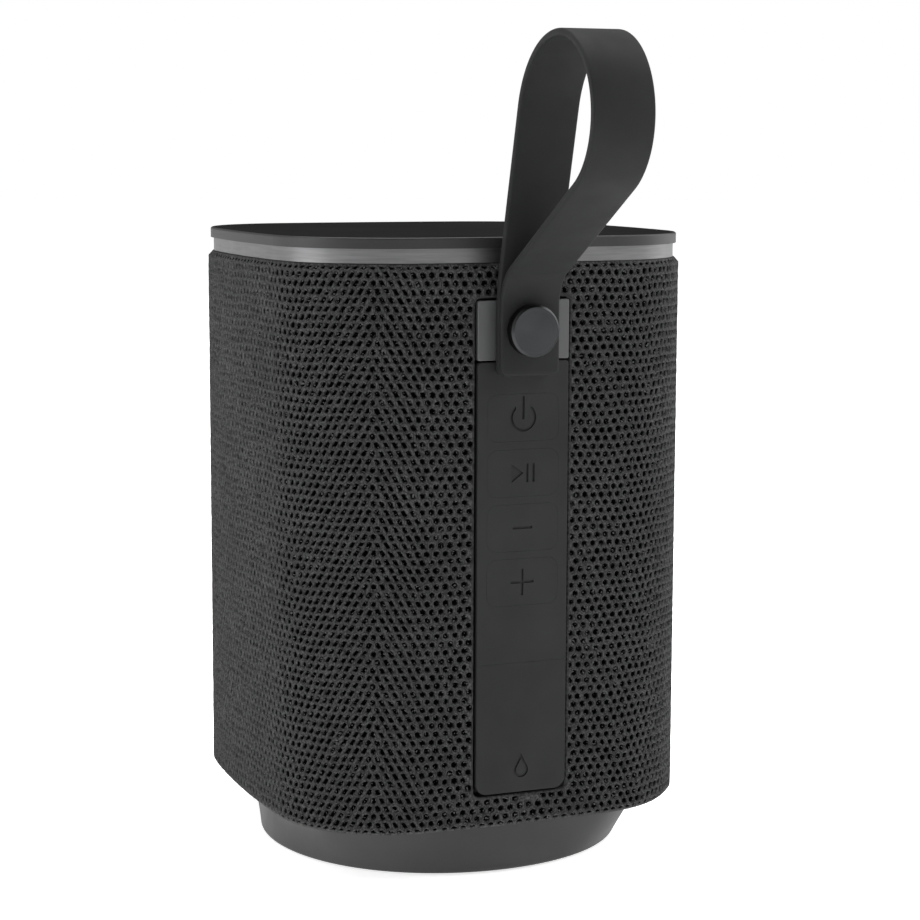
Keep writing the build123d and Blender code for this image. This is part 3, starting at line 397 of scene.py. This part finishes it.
def strap_route():
    """The strap's middle line, from its end under the knob, up, over and back to its other end."""
    route = Route(INNER_LAYER, STRAP_END)
    for length in END_STEPS:
        route.run(length)
    route.run(INNER_BEND_START - route.at.y)
    route.arc(INNER_BEND, -INNER_LEAN)
    route.run(INNER_RISE)
    route.arc(CROWN_INNER, INNER_LEAN - 90)
    route.arc(CROWN_OUTER, -90)
    route.arc(BELLY, -BELLY_TURN)
    bend_reach = OUTER_BEND * (1 - math.cos(math.radians(BELLY_TURN)))
    fall = (route.at.x - OUTER_LAYER - bend_reach) / math.sin(math.radians(BELLY_TURN))
    route.run(fall)
    route.arc(OUTER_BEND, BELLY_TURN)
    route.run(route.at.y - STRAP_END - sum(END_STEPS))
    for length in reversed(END_STEPS):
        route.run(length)
    return route.places


def rounded_section(half_width, half_height, radius, steps=4):
    """Points round a rounded rectangle, anticlockwise."""
    points = []
    for quadrant in range(4):
        centre_x = (half_width - radius) * (1 if quadrant in (0, 3) else -1)
        centre_y = (half_height - radius) * (1 if quadrant in (0, 1) else -1)
        for step in range(steps + 1):
            angle = math.pi / 2 * (quadrant + step / steps)
            points.append(
                (centre_x + radius * math.cos(angle), centre_y + radius * math.sin(angle))
            )
    return points


def strap_band():
    """The strap as one soft band with rounded edges, holed for the stud."""
    places = strap_route()
    run = [0.0]
    for (a, _), (b, _) in zip(places, places[1:]):
        run.append(run[-1] + (b - a).length)
    verts, faces = [], []
    for (at, heading), along in zip(places, run):
        end = min(along, run[-1] - along)
        width, height = STRAP_WIDTH / 2, STRAP_THICKNESS / 2
        if end < END_CORNER:
            width -= END_CORNER - math.sqrt(END_CORNER**2 - (END_CORNER - end) ** 2)
        if end < STRAP_EDGE:
            height -= STRAP_EDGE - math.sqrt(STRAP_EDGE**2 - (STRAP_EDGE - end) ** 2)
        edge = min(STRAP_EDGE, height - 0.02)
        for across, off in rounded_section(width, height, edge):
            out = at.x - off * math.sin(heading)
            up = at.y + off * math.cos(heading)
            verts.append((across * MM, -(PANEL_FACE + out) * MM, up * MM))
    ring = len(verts) // len(places)
    for i in range(len(places) - 1):
        for j in range(ring):
            k = (j + 1) % ring
            a, b = i * ring, (i + 1) * ring
            faces.append((a + j, a + k, b + k, b + j))
    faces.append(tuple(reversed(range(ring))))
    faces.append(tuple(range(len(verts) - ring, len(verts))))
    mesh = bpy.data.meshes.new("strap_band")
    mesh.from_pydata(verts, [], faces)
    mesh.validate()
    band = piece("strap_band", mesh)

    sides, hole = STUD_HOLE_SIDES, []
    for depth in (-1.0, 6.0):
        for i in range(sides):
            angle = 2 * math.pi * i / sides
            x, z = STUD_HOLE * math.cos(angle), KNOB_HEIGHT + STUD_HOLE * math.sin(angle)
            hole.append((x * MM, -(PANEL_FACE + depth) * MM, z * MM))
    walls = [(i, (i + 1) % sides, sides + (i + 1) % sides, sides + i) for i in range(sides)]
    walls += [tuple(reversed(range(sides))), tuple(range(sides, 2 * sides))]
    cutter_mesh = bpy.data.meshes.new("stud_hole")
    cutter_mesh.from_pydata(hole, [], walls)
    cutter = piece("stud_hole", cutter_mesh)
    cut = band.modifiers.new("stud_hole", "BOOLEAN")
    cut.operation, cut.object, cut.solver = "DIFFERENCE", cutter, "EXACT"
    bpy.context.view_layer.update()
    graph = bpy.context.evaluated_depsgraph_get()
    holed = bpy.data.meshes.new_from_object(band.evaluated_get(graph), depsgraph=graph)
    band.modifiers.clear()
    band.data = holed
    bpy.data.objects.remove(cutter)
    band.data.shade_smooth()
    band.data.set_sharp_from_angle(angle=math.radians(50))
    return band


# --- Materials ------------------------------------------------------------------------------
class Finish:
    """A material under construction, with short calls for the nodes that it needs."""

    def __init__(self, name, roughness, metallic=0.0, **sockets):
        self.material = bpy.data.materials.new(name)
        self.material.use_nodes = True
        self.tree = self.material.node_tree
        self.shader = self.tree.nodes["Principled BSDF"]
        self.shader.inputs["Roughness"].default_value = roughness
        self.shader.inputs["Metallic"].default_value = metallic
        for socket, value in sockets.items():
            self.shader.inputs[socket.replace("_", " ")].default_value = value
        self.place = self.tree.nodes.new("ShaderNodeTexCoord").outputs["Object"]
        self.normal = None

    def link(self, start, end):
        self.tree.links.new(start, end)

    def noise(self, scale, detail=3.0, stretch=(1, 1, 1), roughness=0.5):
        """Noise over the object, in repeats a metre, stretched along an axis where below 1."""
        place = self.place
        if stretch != (1, 1, 1):
            mapping = self.tree.nodes.new("ShaderNodeMapping")
            mapping.inputs["Scale"].default_value = stretch
            self.link(place, mapping.inputs["Vector"])
            place = mapping.outputs["Vector"]
        node = self.tree.nodes.new("ShaderNodeTexNoise")
        node.inputs["Scale"].default_value = scale
        node.inputs["Detail"].default_value = detail
        node.inputs["Roughness"].default_value = roughness
        self.link(place, node.inputs["Vector"])
        return node.outputs["Fac"]

    def spread(self, value, low, high, start=0.3, end=0.7):
        """A value taken from one range to another."""
        node = self.tree.nodes.new("ShaderNodeMapRange")
        for socket, number in (
            ("From Min", start),
            ("From Max", end),
            ("To Min", low),
            ("To Max", high),
        ):
            node.inputs[socket].default_value = number
        self.link(value, node.inputs["Value"])
        return node.outputs["Result"]

    def mix(self, factor, a, b):
        """Colour between two, each a colour or another node's output."""
        node = self.tree.nodes.new("ShaderNodeMix")
        node.data_type = "RGBA"
        self.link(factor, node.inputs["Factor"])
        for socket, value in ((node.inputs[6], a), (node.inputs[7], b)):
            if isinstance(value, tuple):
                socket.default_value = (*value, 1.0)
            else:
                self.link(value, socket)
        return node.outputs[2]

    def colour(self, value):
        if isinstance(value, tuple):
            self.shader.inputs["Base Color"].default_value = (*value, 1.0)
        else:
            self.link(value, self.shader.inputs["Base Color"])

    def rough(self, value):
        self.link(value, self.shader.inputs["Roughness"])

    def bump(self, height, strength, distance):
        node = self.tree.nodes.new("ShaderNodeBump")
        node.inputs["Strength"].default_value = strength
        node.inputs["Distance"].default_value = distance
        self.link(height, node.inputs["Height"])
        if self.normal is not None:
            self.link(self.normal, node.inputs["Normal"])
        self.normal = node.outputs["Normal"]
        self.link(self.normal, self.shader.inputs["Normal"])


def grey(level, tint=0.0):
    """A grey, cooler where tint is above 0."""
    return (level * (1 - tint), level, level * (1 + tint))


def moulded(name, level, roughness, grain=2600, relief=0.00003, tint=0.02, **sockets):
    """Fine-grained moulded plastic or rubber, a little uneven in tone and gloss."""
    made = Finish(name, roughness, **sockets)
    tone = made.spread(made.noise(55, 4), 0, 1)
    made.colour(made.mix(tone, grey(level * 0.9, tint), grey(level * 1.1, tint)))
    made.rough(made.spread(made.noise(140, 3), roughness - 0.05, roughness + 0.05))
    made.bump(made.noise(grain, 2), 0.35, relief)
    made.bump(made.noise(300, 2), 0.12, relief * 3)
    return made.material


def fabric_material():
    """Knitted polyester: matt strands with fibre tone and painted glints, darker at their
    crossings, and near black in the holes, which is painted shade over the dark layer behind.
    """
    made = Finish("fabric", 0.6)
    attribute = made.tree.nodes.new("ShaderNodeAttribute")
    attribute.attribute_name = "hole"
    hole = attribute.outputs["Fac"]
    # The hole floors are painted near black: painted shade deep in each hole, and their reflection
    # is turned off too.
    hole_shade_mask = made.spread(hole, 0, 1, 0.3, 0.62)
    fibre = made.noise(2300, 3, (1, 1, 0.7), 0.62)
    # Fine fibre tone, pushed to high contrast so its light specks stand in for glints on the
    # strands: real fibre tone plus painted glints.
    fibre_tone_and_glint = made.spread(fibre, 0, 1, 0.38, 0.64)
    bright = made.mix(fibre_tone_and_glint, (0.004, 0.004, 0.0042), (0.082, 0.082, 0.084))
    dull = made.mix(fibre_tone_and_glint, (0.008, 0.008, 0.0082), (0.06, 0.06, 0.062))
    strand = made.mix(made.spread(made.noise(60, 3), 0, 1), bright, dull)
    crossing = made.spread(hole, 0.35, 1, 0, 0.16)
    strand = made.mix(crossing, (0.01, 0.01, 0.0102), strand)
    # Stray under-threads show as lighter specks in the painted hole shade.
    stray = made.spread(made.noise(1900, 2), 0, 1, 0.6, 0.68)
    backing_and_hole_shade = made.mix(stray, (0.001, 0.001, 0.001), (0.12, 0.12, 0.12))
    made.colour(made.mix(hole_shade_mask, strand, backing_and_hole_shade))
    made.link(
        made.spread(hole_shade_mask, 0.22, 0.0, 0, 1), made.shader.inputs["Specular IOR Level"]
    )
    made.rough(made.spread(fibre, 0.5, 0.85))
    made.bump(fibre, 0.9, 0.00015)
    return made.material


def brushed_material():
    """Satin metal band, faintly brushed along its length."""
    made = Finish("ring_metal", 0.34, 1.0)
    brush = made.noise(900, 3, (0.12, 0.12, 2.4), 0.6)
    made.colour(made.mix(made.spread(brush, 0, 1), (0.13, 0.13, 0.132), (0.17, 0.17, 0.173)))
    made.rough(made.spread(made.noise(90, 3), 0.34, 0.44))
    made.bump(brush, 0.25, 0.00002)
    return made.material


def turned_material(name, level, centre, axis, roughness=0.33):
    """Metal turned on a lathe: fine rings round a centre."""
    made = Finish(name, roughness, 1.0)
    apart = made.tree.nodes.new("ShaderNodeVectorMath")
    apart.operation = "SUBTRACT"
    made.link(made.place, apart.inputs[0])
    apart.inputs[1].default_value = centre
    across = made.tree.nodes.new("ShaderNodeVectorMath")
    across.operation = "MULTIPLY"
    made.link(apart.outputs["Vector"], across.inputs[0])
    across.inputs[1].default_value = tuple(0.0 if a else 1.0 for a in axis)
    length = made.tree.nodes.new("ShaderNodeVectorMath")
    length.operation = "LENGTH"
    made.link(across.outputs["Vector"], length.inputs[0])
    rings = made.tree.nodes.new("ShaderNodeTexNoise")
    rings.noise_dimensions = "1D"
    rings.inputs["Scale"].default_value = 9000
    rings.inputs["Detail"].default_value = 2
    made.link(length.outputs["Value"], rings.inputs["W"])
    tone = made.spread(rings.outputs["Fac"], 0, 1)
    made.colour(made.mix(tone, grey(level * 0.85, 0.03), grey(level * 1.15, 0.03)))
    made.rough(made.spread(made.noise(500, 2), roughness - 0.04, roughness + 0.04))
    made.bump(rings.outputs["Fac"], 0.3, 0.000015)
    tangent = made.tree.nodes.new("ShaderNodeTangent")
    tangent.direction_type, tangent.axis = "RADIAL", "Y"
    made.link(tangent.outputs["Tangent"], made.shader.inputs["Tangent"])
    made.shader.inputs["Anisotropic"].default_value = 0.6
    return made.material


def metal(name, colour, roughness, grain=1500):
    """Plain worked metal with a fine tooth."""
    made = Finish(name, roughness, 1.0)
    tone = made.spread(made.noise(400, 3), 0, 1)
    darker = tuple(c * 0.8 for c in colour)
    made.colour(made.mix(tone, darker, colour))
    made.rough(made.spread(made.noise(200, 2), roughness - 0.06, roughness + 0.08))
    made.bump(made.noise(grain, 2), 0.2, 0.00002)
    return made.material


def coated_board():
    """Green lacquered circuit board with faint tracks."""
    made = Finish("board_green", 0.35, Coat_Weight=0.4)
    tracks = made.noise(700, 1, (1, 1, 0.3))
    copper_shows = made.spread(tracks, 0, 1, 0.47, 0.53)
    made.colour(made.mix(copper_shows, (0.004, 0.06, 0.02), (0.01, 0.1, 0.035)))
    made.bump(tracks, 0.2, 0.00003)
    return made.material


def lid_material():
    """Dark moulded lid: a matt grained top, and a smoother side and edge."""
    made = Finish("lid_plastic", 0.5)
    normal = made.tree.nodes.new("ShaderNodeNewGeometry").outputs["Normal"]
    apart = made.tree.nodes.new("ShaderNodeSeparateXYZ")
    made.link(normal, apart.inputs["Vector"])
    top = made.spread(apart.outputs["Z"], 0, 1, 0.9, 0.995)
    tone = made.spread(made.noise(55, 4), 0, 1)
    made.colour(made.mix(tone, grey(0.0095), grey(0.012)))
    made.rough(made.spread(top, 0.48, 0.85, 0, 1))
    made.link(made.spread(top, 0.42, 0.01, 0, 1), made.shader.inputs["Specular IOR Level"])
    made.bump(made.noise(3200, 2), 0.35, 0.00003)
    return made.material


knob_low, knob_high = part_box("knob")
knob_centre = tuple((knob_low + knob_high) / 2)

MATERIALS = {
    "fabric": fabric_material(),
    "ring_metal": brushed_material(),
    "lid_plastic": lid_material(),
    "foot_plastic": moulded(
        "foot_plastic", 0.036, 0.48, grain=2200, tint=0.0, Specular_IOR_Level=0.3
    ),
    "rubber_black": moulded("rubber_black", 0.018, 0.7),
    "silicone_strip": moulded(
        "silicone_strip", 0.012, 0.66, 3400, 0.00002, Specular_IOR_Level=0.25
    ),
    "silicone_strap": moulded(
        "silicone_strap", 0.013, 0.7, 3400, 0.00002, Specular_IOR_Level=0.19
    ),
    "plate_plastic": moulded("plate_plastic", 0.058, 0.45),
    "knob_metal": turned_material("knob_metal", 0.045, knob_centre, (0, 1, 0)),
    "inner_plastic": moulded("inner_plastic", 0.03, 0.5, grain=1800),
    "screw_steel": metal("screw_steel", (0.45, 0.45, 0.46), 0.32),
    "magnet_iron": metal("magnet_iron", (0.3, 0.3, 0.32), 0.42),
    "coil_copper": metal("coil_copper", (0.72, 0.32, 0.16), 0.35),
    "board_green": coated_board(),
    "chip_black": moulded("chip_black", 0.015, 0.4),
    "cell_wrap": moulded("cell_wrap", 0.09, 0.35, tint=0.4),
}

SLOT_OF_NODE = {
    part["node"]: part["material_slot"] for part in frame["record"]["subparts"]
}


# --- Stage, light and camera ----------------------------------------------------------------
def disc(name, radius, z, sides=96):
    """A flat round floor with a slightly finer middle."""
    verts, faces = [(0.0, 0.0, z)], []
    for share in (0.05, 0.2, 1.0):
        for i in range(sides):
            angle = 2 * math.pi * i / sides
            reach = radius * share
            verts.append((reach * math.cos(angle), reach * math.sin(angle), z))
    for i in range(sides):
        k = (i + 1) % sides
        faces.append((0, 1 + i, 1 + k))
        for ring in (0, 1):
            a, b = 1 + ring * sides, 1 + (ring + 1) * sides
            faces.append((a + i, b + i, b + k, a + k))
    mesh = bpy.data.meshes.new(name)
    mesh.from_pydata(verts, [], faces)
    return piece(name, mesh)


def softbox(name, place, target, size, power):
    """A soft rectangular light that looks at a point."""
    light = bpy.data.lights.new(name, "AREA")
    light.shape = "RECTANGLE"
    light.size, light.size_y = size
    light.energy = power
    lamp = bpy.data.objects.new(name, light)
    bpy.context.scene.collection.objects.link(lamp)
    lamp.location = place
    lamp.rotation_euler = (Vector(target) - Vector(place)).to_track_quat("-Z", "Y").to_euler()


SOFTBOXES = {  # name: place, size in metres, and power in watts
    "left_box": ((-1.1, 0.15, 0.55), (0.7, 1.1), 7.5),
    "right_box": ((1.15, 0.1, 0.6), (0.7, 1.1), 6.5),
    "top_box": ((0.1, 0.3, 1.6), (1.4, 1.4), 26),
    "front_box": ((0.75, -0.75, 0.9), (0.4, 0.4), 5.5),
}
LIGHT_TARGET = (0.0, 0.0, 0.075)
SIDEWAYS = (0.93, -0.37, 0.0)  # the studio's bright sides lie along this line
SIDE_START = 0.25  # cosine of the angle to that line where the studio starts to brighten
SIDE_FULL = 0.95  # and where it is at its brightest
WORLD_DIM = 0.2
WORLD_BRIGHT = 0.6
FLOOR_RADIUS = 6.0
FLOOR_GLOW = 0.72


def set_world():
    """White studio to the eye, lit mostly from the sides so that dark plastic keeps its form."""
    world = bpy.data.worlds.new("studio")
    bpy.context.scene.world = world
    world.use_nodes = True
    tree = world.node_tree
    tree.nodes.clear()
    out = tree.nodes.new("ShaderNodeOutputWorld")
    direction = tree.nodes.new("ShaderNodeTexCoord").outputs["Generated"]
    dot = tree.nodes.new("ShaderNodeVectorMath")
    dot.operation = "DOT_PRODUCT"
    dot.inputs[1].default_value = SIDEWAYS
    tree.links.new(direction, dot.inputs[0])
    size = tree.nodes.new("ShaderNodeMath")
    size.operation = "ABSOLUTE"
    tree.links.new(dot.outputs["Value"], size.inputs[0])
    level = tree.nodes.new("ShaderNodeMapRange")
    level.interpolation_type = "SMOOTHSTEP"
    level.inputs["From Min"].default_value = SIDE_START
    level.inputs["From Max"].default_value = SIDE_FULL
    level.inputs["To Min"].default_value = WORLD_DIM
    level.inputs["To Max"].default_value = WORLD_BRIGHT
    tree.links.new(size.outputs["Value"], level.inputs["Value"])
    studio = tree.nodes.new("ShaderNodeBackground")
    tree.links.new(level.outputs["Result"], studio.inputs["Strength"])
    studio.inputs["Color"].default_value = (1, 1, 1, 1)
    white = tree.nodes.new("ShaderNodeBackground")
    white.inputs["Color"].default_value = (1, 1, 1, 1)
    white.inputs["Strength"].default_value = 1.0
    path = tree.nodes.new("ShaderNodeLightPath")
    mix = tree.nodes.new("ShaderNodeMixShader")
    tree.links.new(path.outputs["Is Camera Ray"], mix.inputs["Fac"])
    tree.links.new(studio.outputs["Background"], mix.inputs[1])
    tree.links.new(white.outputs["Background"], mix.inputs[2])
    tree.links.new(mix.outputs["Shader"], out.inputs["Surface"])


CAMERA_PLACE = (-0.18795, -0.4709, 0.15024)
CAMERA_HEADING = 22.3
CAMERA_DOWN = 7.706
CAMERA_ROLL = 0.21
LENS = 91.55
SENSOR = 36.0


def set_camera():
    """The viewing camera, turned towards the corner of the body."""
    lens = bpy.data.cameras.new("camera")
    lens.lens = LENS
    lens.sensor_width = SENSOR
    lens.clip_start = 0.01
    camera = bpy.data.objects.new("camera", lens)
    bpy.context.scene.collection.objects.link(camera)
    camera.matrix_world = (
        Matrix.Translation(CAMERA_PLACE)
        @ Matrix.Rotation(-math.radians(CAMERA_HEADING), 4, "Z")
        @ Matrix.Rotation(math.radians(90 - CAMERA_DOWN), 4, "X")
        @ Matrix.Rotation(math.radians(CAMERA_ROLL), 4, "Z")
    )
    bpy.context.scene.camera = camera


# --- Build ----------------------------------------------------------------------------------
for name, node in nodes.items():
    node.data.materials.clear()
    node.data.materials.append(MATERIALS[SLOT_OF_NODE[name]])

sleeve = woven_sleeve()
sleeve.data.materials.append(MATERIALS["fabric"])
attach(sleeve, "housing")
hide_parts("fabric_sleeve")

band = strap_band()
band.data.materials.clear()
band.data.materials.append(MATERIALS["silicone_strap"])
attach(band, "strap")
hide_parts("strap")

floor = disc("floor", FLOOR_RADIUS, 0.0)
floor_finish = Finish("floor_pale", 0.9)
floor_tone = floor_finish.spread(floor_finish.noise(3, 3), 0, 1)
floor_finish.colour(floor_finish.mix(floor_tone, grey(0.86), grey(0.9)))
floor_finish.shader.inputs["Emission Color"].default_value = (1, 1, 1, 1)
floor_finish.shader.inputs["Emission Strength"].default_value = FLOOR_GLOW
floor.data.materials.append(floor_finish.material)

set_world()
for name, (place, size, power) in SOFTBOXES.items():
    softbox(name, place, LIGHT_TARGET, size, power)
set_camera()
bpy.context.scene.view_settings.view_transform = "Standard"
